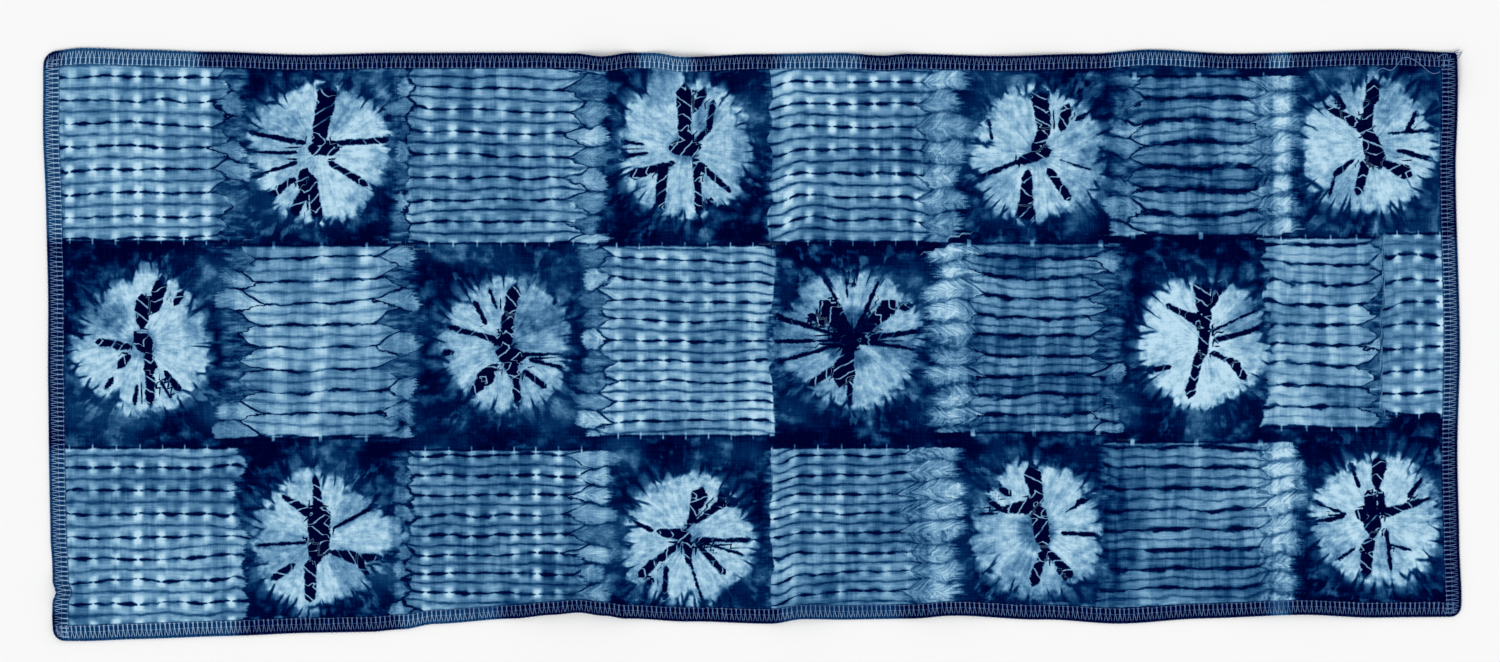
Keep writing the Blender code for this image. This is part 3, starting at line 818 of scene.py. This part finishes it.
def shiboriGroup():
    inputs = (("Place", "NodeSocketVector", None),)
    tree, (place,), end = newGroup("shiboriPattern", inputs, (("Light", "NodeSocketFloat"),))
    field = {name: parted(attribute(tree, name, "Vector")) for name in fieldNames}
    phase, endDistance, point = field["ridge"]
    dotPhase, dots, minor = field["stitch"]
    rowEdge, lineWeight, waves = field["rowEdge"]
    fringe, cellSeed, bandNear = field["fringe"]
    rowAway, ownColumn, hazeNear = field["column"]
    stripeTone, groundTone, bandLift = field["tone"]
    petalEdge, petalTone, haloReach = field["petals"]
    localX, localY, seed = field["roundPlace"]
    gapAcross, gapHalf, gapAlong = field["gapLine"]
    inwards, edgePale = field["hem"][:2]
    cellSeed = calc("ROUND", cellSeed)

    # uneven hand of the dyer: slow and quick wander, streaks along and up the cloth
    slow = noise(place, (0.055, 0.09)) - 0.5
    quick = noise(place, (0.20, 0.34), 3.0, 0.6) - 0.5
    fine = noise(place, 0.9, 3.0, 0.65) - 0.5
    streak = noise(place, (0.13, 0.95), 3.0, 0.65) - 0.5
    column = noise(place, (0.17, 0.03)) - 0.5
    dash = noise(place, (0.11, 0.30)) - 0.5

    # ridges: fold is 0 on the middle of a ridge and 1 on a dark line
    waved = phase + (slow * 0.30 + quick * 0.22) * (waves + 0.6)
    fold = abs(calc("FRACT", waved) - 0.5) * 2.0
    ridgeRandom = whiteNoise(calc("FLOOR", waved) + cellSeed)
    cellNumber = calc("FLOOR", waved + 0.5) + cellSeed
    tip = endDistance + point * (0.55 + ridgeRandom * 0.8) * fold + quick * 7.0
    hasPoint = ramp(point, 0.5, 2.5)
    isBand = ramp(tip, -0.3, 0.3) * hasPoint
    isRidge = 1.0 - isBand
    foldHere = blend(isBand, fold, 1.0 - fold)
    lineAway = (1.0 - foldHere) * shibori["halfPitch"]
    middleAway = fold * shibori["halfPitch"]

    dotAway = abs(calc("FRACT", dotPhase + 0.5) - 0.5) * shibori["dotPitch"]
    swell = ramp(dotAway, 0.0, 3.6, 0.35, 1.0) * ramp(dash, -0.22, 0.20, 0.40, 1.30)
    lineWidth = lineWeight * swell * (1.0 + quick * (0.6 + waves))
    lineCore = fade(lineAway, lineWidth * 0.30, lineWidth * 0.85 + 0.45)
    lineHalo = fade(lineAway, 0.2, 3.4)
    minorHand = ramp(dash, -0.15, 0.15, 1.25, 0.65)
    minorLine = fade(middleAway, 0.05, 1.05) * minor * minorHand * isRidge
    calm = ramp(bandNear, 0.0, 1.0, 1.0, 0.20)
    bandLines = blend(calm, 0.25, 1.0)
    zigzagHand = ramp(dash + ridgeRandom * 0.3, -0.08, 0.22, 0.15, 1.2)
    zigzag = fade(abs(tip), 0.35, 1.5) * (hasPoint * zigzagHand) * bandLines

    dotNear = ramp(lineAway, 0.8, 4.0, 1.0, 0.04)
    dot = fade(dotAway, 0.5, 3.3) * dotNear * dots * (1.0 - isBand * 0.85)
    dotCore = fade(dotAway, 0.15, 1.0) * dots

    chevron = noise(joined(tip * 0.55, waved * 1.6, cellSeed), 1.0, 3.0, 0.65) - 0.5
    chevronShare = ramp(tip, -9.0, 1.0, 0.0, hasPoint * 0.62) * (1.0 + bandNear * 1.1)
    light = stripeTone + streak * shibori["streakLight"] + chevron * chevronShare + fine * 0.10
    light = light + column * (0.12 + waves * 0.40)
    light = light + (ridgeRandom - 0.5) * (0.08 + waves * 0.14)
    light = light + ramp(column + slow * 0.3, -0.03, 0.04, -0.03, 0.03)
    light = light + bandLift * (1.10 - foldHere ** 2.0 * 0.5)
    light = light - lineHalo * (0.17 - isBand * bandNear * 0.08)
    light = light + dot * shibori["dotLight"]
    clearOfDot = 1.0 - dotCore * isRidge * 0.75
    lineDark = lineCore * clearOfDot * ramp(dash + streak * 0.4, -0.20, 0.06, 0.45, 0.92)
    lineDark = lineDark * blend(isBand, 1.0, bandLines)
    light = light - ramp(middleAway, 0.3, 2.6, 0.07, 0.0) * minor * isRidge
    light = light * (1.0 - lineDark)
    light = light * (1.0 - minorLine * shibori["minorDark"])
    light = light * (1.0 - calc("MINIMUM", zigzag * shibori["zigzagDark"], 0.9))

    # beyond the ridges, each half-step cell ends at its own distance with a round, feathered end
    dyedCell = ramp(whiteNoise(cellNumber + 3000), 0.15, 0.75, 0.92, 0.0) * isBand * calm
    shortest = blend(calm, 0.85, 0.35)
    longest = blend(calm, 0.25, 0.90)
    cellEnd = fringe * (shortest + whiteNoise(cellNumber) * longest)
    cellEnd = cellEnd - (1.0 - fold) ** 2.0 * (fringe * blend(calm, 0.10, 0.3))
    feather = (streak + fine * 0.25) * fringe
    outBy = endDistance + feather * 1.1 - cellEnd
    fadeOut = fade(outBy, -0.4, fringe * (0.16 + bandNear * 0.22))
    inRow = fade(rowEdge + quick * 2.0, -0.35, 0.35)
    stripeShare = fadeOut * inRow * (1.0 - dyedCell)

    # tied rounds: direction from the middle, so that noise makes pleats that fan out
    local = joined(localX, localY, 0.0)
    reach = vectorMath("LENGTH", local)[1]
    directionX, directionY = parted(vectorMath("NORMALIZE", local)[0])[:2]
    fan = joined(directionX, directionY, reach * 0.012 + seed)
    broad = noise(fan, 3.2) - 0.5
    pleat = noise(fan, 8.0, 2.0, 0.6) - 0.5
    hair = noise(fan, 26.0, 3.0, 0.65) - 0.5
    puff = noise(place, 0.30, 4.0, 0.55) - 0.5
    bent = vectorMath("ADD", fan, joined(quick * 0.05, slow * 0.06, 0.0))[0]
    cells = {"Vector": bent, "Scale": shibori["petalCells"]}
    creaseAway = newNode("ShaderNodeTexVoronoi", cells, feature="DISTANCE_TO_EDGE")[0]
    creaseAway = creaseAway * (reach / shibori["petalCells"])

    ragged = broad * 1.6 + hair * 0.4 + puff * 3.0
    edge = petalEdge + ragged + ramp(creaseAway, 0.0, 1.0, -1.3, 0.4)
    besideGap = gapHalf - abs(gapAcross)
    edge = edge - ramp(besideGap, -2.0, -0.5, 0.0, 2.8)
    inPetals = ramp(edge, -1.0, 1.9)
    creaseDepth = 5.5 + broad * 30.0
    creaseWidth = ramp(creaseDepth - petalEdge, -1.0, 8.0, 0.0, 0.42)
    crease = fade(creaseAway, creaseWidth * 0.3, creaseWidth + 0.35) * ramp(creaseWidth, 0.0, 0.3)
    petal = petalTone - 0.02 + hair * 0.24 + quick * 0.42 + pleat * 0.46 + puff * 0.56
    petal = petal - ramp(edge + puff * 7.0, -1.0, 5.0, shibori["rimDark"], 0.0)
    petal = petal * (1.0 - crease * shibori["pleatDark"])

    # the ground: clouds, and blue rays that carry on from the petals
    marble = noise(place, (0.085, 0.11), 4.0, 0.52)
    ground = groundTone + fine * 0.07 + ramp(marble, 0.48, 0.76, 0.0, shibori["cloudLight"])
    ray = ramp(pleat + quick * 0.3, 0.01, 0.16, 0.0, 0.27) * ramp(petalEdge, -24.0, -5.0)
    ground = ground + ray * ramp(slow, -0.12, 0.14, 0.15, 1.0)
    outward = 0.0 - (edge + pleat * 9.0)
    halo = ramp(outward, -1.0, haloReach, shibori["haloLight"], 0.0)
    halo = halo * ramp(creaseAway, 0.2, 2.0, 0.30, 1.0) * (1.0 + hair * 0.8)
    ground = calc("MAXIMUM", ground, halo)
    haze = ramp(hazeNear + (marble - 0.5) * 0.8, 0.25, 0.95) * hazeNear
    plume = noise(place, (0.10, 0.42), 3.0, 0.55) - 0.5
    haze = haze * (0.22 + (plume * 1.5 + chevron * 0.3))
    ground = calc("MAXIMUM", ground, haze)
    light = blend(stripeShare, ground, light)

    # gaps where the dye ran in, and the resist thread that crosses them
    inGap = ramp(besideGap + fine * 1.2 + quick * 2.6, -0.35, 0.45)
    lean = gapAcross * ramp(slow, -0.03, 0.03, -0.15, 0.13)
    turns = gapAlong / shibori["ringStep"] + lean + quick * 0.4
    threadAway = abs(calc("FRACT", turns) - 0.5) * shibori["ringStep"]
    threadHere = ramp(slow, -0.20, -0.05) * ramp(gapHalf, 0.9, 1.7)
    threadHere = threadHere * ramp(petalTone, 0.28, 0.42)
    gapLight = fade(threadAway, 0.22, 0.52) * threadHere * shibori["threadLight"]
    light = blend(inPetals, light, blend(inGap, petal, gapLight))

    # white ticks where the stitching thread crossed the edge of a row, on a thin dark line
    onRow = abs(rowAway + quick * 2.0)
    rowDark = ramp(onRow, 0.2, 0.9, 0.75, 0.0) * ramp(ownColumn, 0.5, 0.95)
    light = light * (1.0 - rowDark)
    tick = ramp(dotAway, 0.2, 0.5, 0.8 + dash * 2.5, 0.0) * fade(onRow, 0.9, 2.2)
    tick = tick * ramp(ownColumn, 0.7, 0.95, 0.0, 0.6)
    light = blend(calc("MINIMUM", tick, 1.0), light, shibori["tickLight"])

    # under the overlock the cloth is darker, except where a pale band runs out
    hemLight = shibori["hemLight"] + edgePale * shibori["hemPale"] + (fine + quick) * 0.08
    feed(end["Light"], blend(fade(inwards, 7.0, 7.9), light, hemLight))
    return tree


def newMaterial(name, roughness, specular):
    material = bpy.data.materials.new(name)
    material.use_nodes = True
    tree = material.node_tree
    shader = tree.nodes["Principled BSDF"].inputs
    shader["Roughness"].default_value = roughness
    shader["Specular IOR Level"].default_value = specular
    return material, tree, shader


def millimetrePlace(tree):
    coordinates = Value(tree, tree.nodes.new("ShaderNodeTexCoord").outputs["Object"])
    return vectorMath("MULTIPLY", coordinates, (1000.0, 1000.0, 1000.0))[0]


def addBump(shader, height, strength):
    sources = {"Height": height, "Strength": strength, "Distance": 0.0001}
    feed(shader["Normal"], newNode("ShaderNodeBump", sources)[0])


cotton = {
    "threads": 2.2,  # to a millimetre
    "slubLight": 0.17,
    # painted highlight and shade: the weave's height lightens the colour where threads cross higher
    "weaveShading": 0.012,
    "bump": 0.5,
    "roughness": 0.9,
}


def cottonMaterial():
    material, tree, shader = newMaterial("dyedCotton", cotton["roughness"], 0.0)
    place = millimetrePlace(tree)
    light = newNode("ShaderNodeGroup", {"Place": place}, node_tree=shiboriGroup())[0]
    sources = {"Place": place, "Threads": cotton["threads"]}
    height, slub = newNode("ShaderNodeGroup", sources, node_tree=weaveGroup())
    # the weave's height also goes into the colour: painted highlight and shade on the raised and sunk threads
    light = light + slub * cotton["slubLight"] + height * cotton["weaveShading"]
    color = newNode("ShaderNodeGroup", {"Light": light}, node_tree=indigoGroup())[0]
    feed(shader["Base Color"], color)
    addBump(shader, height, cotton["bump"])
    return material


dyedCotton = cottonMaterial()
face = addSheet("dyedFace", cloth["faceStep"], faceHeight, True)
reverse = addSheet("dyedReverse", cloth["reverseStep"], reverseHeight, False)
for piece in (face, reverse):
    piece.data.materials.append(dyedCotton)
print("cloth ready")

overlock = {  # sizes in millimetres, places as distances in from the edge
    "pitch": 2.16,
    "innerNeedle": 6.9,
    "outerNeedle": 4.3,
    "legSpread": 0.05,  # half the gap between a stitch's two legs, as a share of the pitch
    "threadRadius": 0.135,
    "needleRadius": 0.08,
    "sides": 5,
    "unevenness": 0.12,
    "seed": 12,
    "lean": 0.25,  # how far a loop's foot stands beside its arch
    "dashHalf": 0.40,  # half a needle dash, as a share of the pitch
    "roughness": 0.82,
    "bump": 0.4,
    "colors": {0.0: (70, 102, 156), 1.0: (178, 216, 244)},
}


def edgePoint(edge, along, inwards):
    # square-cut place on an edge, from the distance along it and in from it
    places = {
        "top": (along, depth - inwards),
        "bottom": (along, inwards),
        "left": (inwards, along),
        "right": (width - inwards, along),
    }
    return places[edge]


def addTubes(parts, points, radius):
    # sweeps a ring of sides along each path; points is paths by places by three, in millimetres
    sides = overlock["sides"]
    paths, places = points.shape[:2]
    tangent = np.gradient(points, axis=1)
    tangent /= np.maximum(np.linalg.norm(tangent, axis=2, keepdims=True), 1e-9)
    sideways = np.cross(tangent, np.array([0.0, 0.0, 1.0]))
    sideways /= np.maximum(np.linalg.norm(sideways, axis=2, keepdims=True), 1e-9)
    upward = np.cross(sideways, tangent)
    turn = 2 * np.pi * np.arange(sides) / sides
    ring = sideways[:, :, None] * np.cos(turn)[:, None] + upward[:, :, None] * np.sin(turn)[:, None]
    vertices = points[:, :, None] + ring * radius
    first = sum(len(part[0]) for part in parts)
    index = first + np.arange(paths * places * sides).reshape(paths, places, sides)
    nextSide = np.roll(index, -1, axis=2)
    quads = np.stack([index[:, :-1], nextSide[:, :-1], nextSide[:, 1:], index[:, 1:]], axis=-1)
    parts.append((vertices.reshape(-1, 3), quads.reshape(-1, 4)))


def addThread(name, parts):
    points, quads = (np.concatenate(rows) for rows in zip(*parts))
    mesh = newMesh(name, points, quads)
    x, y = points[:, 0], points[:, 1]
    u, v = x - topLeft.x + middle[0], y - bottomLeft.y + middle[1]
    pale = edgePaleness(x, y, u, v)
    mesh.attributes.new("paleness", "FLOAT", "POINT").data.foreach_set("value", pale)
    return addPiece(name, mesh)


def stitchStarts(edge, rng):
    # places along an edge where each stitch begins
    length = width if edge in longEdges else depth
    count = int(length / overlock["pitch"]) - 1
    pitch = (length - 1.5) / (count + 1)
    starts = 0.75 + pitch * (0.5 + np.arange(count))
    return starts + rng.uniform(-1, 1, count) * pitch * overlock["unevenness"] * 0.5, pitch


def mirrored(values, sign):
    # half of a loop's values, then the other half back to its start
    return np.concatenate([sign * values, values[-2::-1]])


def looperPaths(edge, isTop, rng):
    # one open loop for each stitch: in from the rim, round an arch, and back out
    starts, pitch = stitchStarts(edge, rng)
    inner, outer = overlock["innerNeedle"], overlock["outerNeedle"]
    bow = np.array([8.6, 8.2, 4.8, 1.3, 1.0, 1.2, 1.6, 0.0])
    bow = mirrored(bow, -1) * (overlock["legSpread"] * pitch)
    inwardPlaces = np.array([-0.12, 0.35, 2.4, outer, 5.4, inner - 0.3, inner + 0.1, inner + 0.3])
    inwardPlaces = mirrored(inwardPlaces, 1)
    uneven = overlock["unevenness"]
    along = starts[:, None] + bow + rng.normal(0, uneven, (len(starts), 1)) * 0.4
    lean = rng.normal(0, uneven * 1.6, (len(starts), 1)) + overlock["lean"]
    along = along + lean * (1 - inwardPlaces / inner)
    inwards = inwardPlaces + rng.normal(0, uneven, (len(starts), 1)) * (inwardPlaces > 3)
    u, v = edgePoint(edge, along, inwards)
    x, y = clothPlan(u, v)
    radius = overlock["threadRadius"]
    rimZ = cloth["rimHeight"] + liftHeight(u, v)
    rim = np.clip(inwards / 0.6, 0, 1)
    if isTop:
        z = between(rimZ, faceHeight(u, v) + radius * 0.75, rim)
    else:
        z = np.maximum(between(rimZ, reverseHeight(u, v) - radius * 0.9, rim), radius + 0.01)
    return np.stack([x, y, z], axis=2)


def needlePaths(edge, inwards, rng):
    # short dashes of needle thread between the loops
    starts, pitch = stitchStarts(edge, rng)
    steps = np.linspace(-overlock["dashHalf"], overlock["dashHalf"], 5)
    along = starts[:, None] + steps * pitch
    drift = inwards + rng.normal(0, 0.10, (len(starts), 1))
    u, v = edgePoint(edge, along, drift + 0.0 * along)
    x, y = clothPlan(u, v)
    hump = 1 - (steps / overlock["dashHalf"]) ** 2
    z = faceHeight(u, v) + overlock["needleRadius"] * (0.2 + 0.9 * hump)
    return np.stack([x, y, z], axis=2)


# Loose ends of thread by the upper right corner: sizes and places in millimetres
LooseEnd = namedtuple("LooseEnd", "radius height count points")
looseEnds = (
    LooseEnd(0.2, 2.15, 60, (  # tail over the hem's inner edge
        (284, 122), (289, 126.6), (294, 126), (299.5, 131.6), (305, 130), (311.5, 124.8), (314.8, 124.6),
        (317, 126),
    )),
    LooseEnd(0.2, 2.2, 30, ((314.5, 131.5), (318, 133.2), (321.2, 131.5), (322.3, 127.8), (321.8, 123.5))),
    LooseEnd(0.16, 1.6, 10, ((319, 132.2), (322.5, 133.8), (326.2, 134.0))),
    LooseEnd(0.16, 1.6, 10, ((320, 131.0), (323.5, 132.4), (325.6, 133.2))),
    LooseEnd(0.16, 1.6, 10, ((321, 133.0), (323.0, 134.6), (325.0, 135.2))),
    LooseEnd(0.16, 1.6, 10, ((322, 130.0), (324.6, 131.6), (326.0, 134.4))),
)


def loosePath(loose):
    # smooth run of places through the given points
    points = np.array(loose.points, dtype=float)
    share = np.linspace(0, len(points) - 1, loose.count)
    padded = np.concatenate([2 * points[:1] - points[1:2], points, 2 * points[-1:] - points[-2:-1]])
    i = np.clip(share.astype(int), 0, len(points) - 2)
    t = (share - i)[:, None]
    p0, p1, p2, p3 = padded[i], padded[i + 1], padded[i + 2], padded[i + 3]
    square = 2 * p0 - 5 * p1 + 4 * p2 - p3
    cube = 3 * p1 - p0 - 3 * p2 + p3
    flat = 0.5 * (2 * p1 + (p2 - p0) * t + square * t**2 + cube * t**3)
    z = np.full(loose.count, loose.height)
    return np.stack([flat[:, 0] - middle[0], flat[:, 1] - middle[1], z], axis=1)[None]


def threadMaterial():
    material, tree, shader = newMaterial("overlockThread", overlock["roughness"], 0.04)
    pale = attribute(tree, "paleness", "Fac")
    place = millimetrePlace(tree)
    share = pale * 0.8 + (noise(place, 0.5, 3.0, 0.6) - 0.38)
    feed(shader["Base Color"], colorRamp(share, overlock["colors"]))
    addBump(shader, noise(place, 4.5, 1.0), overlock["bump"])
    return material


def addOverlock():
    rng = np.random.RandomState(overlock["seed"])
    upper, under, needles = [], [], []
    for edge in ("top", "bottom", "left", "right"):
        addTubes(upper, looperPaths(edge, True, rng), overlock["threadRadius"])
        addTubes(under, looperPaths(edge, False, rng), overlock["threadRadius"])
        for needle in ("innerNeedle", "outerNeedle"):
            addTubes(needles, needlePaths(edge, overlock[needle], rng), overlock["needleRadius"])
    for loose in looseEnds:
        addTubes(upper, loosePath(loose), loose.radius)
    material = threadMaterial()
    threads = [
        addThread("overlockUpper", upper),
        addThread("overlockUnder", under),
        addThread("overlockNeedles", needles),
    ]
    for piece in threads:
        piece.data.materials.append(material)
    return threads


threads = addOverlock()
for piece in (face, reverse, *threads):
    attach(piece, "root")
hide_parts("dyed_cloth")
print("threads ready")

studio = {
    "floorHalf": 6.0,  # metres
    "floorColor": (0.93, 0.93, 0.93, 1),
    "roomStrength": 0.72,
    "lampStrength": 1.15,
    "lampAngle": 30,  # degrees; a wide lamp gives soft shadows
    "lampTilt": (28, -22, 0),
    "cameraDistance": 2.4,  # metres from the floor to the camera
    "frameWidth": 0.690,  # width that the photograph covers
    "aimX": -0.0010,
    "aimY": 0.0062,
}


def addFloor():
    half = studio["floorHalf"]
    corners = [(-half, -half, 0), (half, -half, 0), (half, half, 0), (-half, half, 0)]
    mesh = bpy.data.meshes.new("paleFloor")
    mesh.from_pydata(corners, [], [(0, 1, 2, 3)])
    material, tree, shader = newMaterial("paleFloor", 0.9, 0.05)
    shader["Base Color"].default_value = studio["floorColor"]
    mesh.materials.append(material)
    floor = addPiece("floor", mesh)


def addLight():
    scene = bpy.context.scene
    scene.world = bpy.data.worlds.new("softRoom")
    scene.world.use_nodes = True
    background = scene.world.node_tree.nodes["Background"].inputs
    background["Color"].default_value = (1, 1, 1, 1)
    background["Strength"].default_value = studio["roomStrength"]
    data = bpy.data.lights.new("windowLight", "SUN")
    data.energy = studio["lampStrength"]
    data.angle = math.radians(studio["lampAngle"])
    lamp = addPiece("windowLight", data)
    lamp.rotation_euler = [math.radians(tilt) for tilt in studio["lampTilt"]]
    scene.view_settings.view_transform = "Standard"
    scene.view_settings.look = "None"


def addCamera():
    data = bpy.data.cameras.new("camera")
    data.type = "PERSP"
    data.sensor_fit = "HORIZONTAL"
    data.angle = 2 * math.atan(studio["frameWidth"] / 2 / studio["cameraDistance"])
    camera = addPiece("camera", data)
    camera.location = (studio["aimX"], studio["aimY"], studio["cameraDistance"])
    bpy.context.scene.camera = camera


addFloor()
addLight()
addCamera()
print("stage ready")
